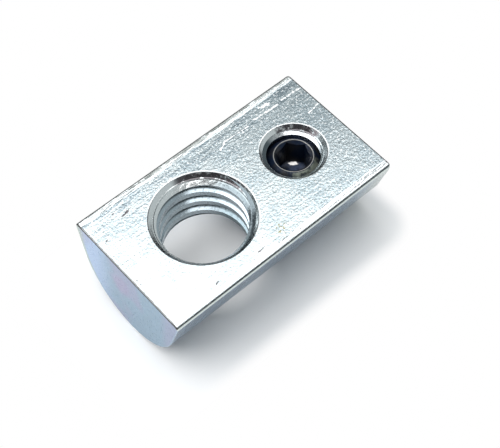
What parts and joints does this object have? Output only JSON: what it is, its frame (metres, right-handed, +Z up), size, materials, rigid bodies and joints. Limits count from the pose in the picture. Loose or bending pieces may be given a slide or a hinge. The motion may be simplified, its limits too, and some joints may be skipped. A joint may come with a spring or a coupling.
{
  "type": "t slot nut",
  "caption": "Slot nut of D-shaped bar for a T-slot rail, with a threaded hole for a bolt and a hex-socket grub screw beside it that holds the nut in place.",
  "frame": {"origin": "under the middle of the nut's overall length, on the lowest line of its rounded underside", "axes": "+X along the nut from the bolt's hole towards the set screw, +Y across it, +Z up, out of the flat top face"},
  "size_m": [0.0216, 0.0118, 0.0069],
  "materials": {
    "zinc": "bright zinc plate, lightly mottled",
    "black_oxide": "black oxide, lightly oiled"
  },
  "bodies": {
    "nut": {"nut_body": "zinc"},
    "screw": {"set_screw": "black_oxide"}
  },
  "joints": [
    {"name": "set_screw_travel", "type": "slide", "parent": "nut", "child": "screw", "axis": [0, 0, 1], "range_m": [-0.0032, 0]}
  ]
}
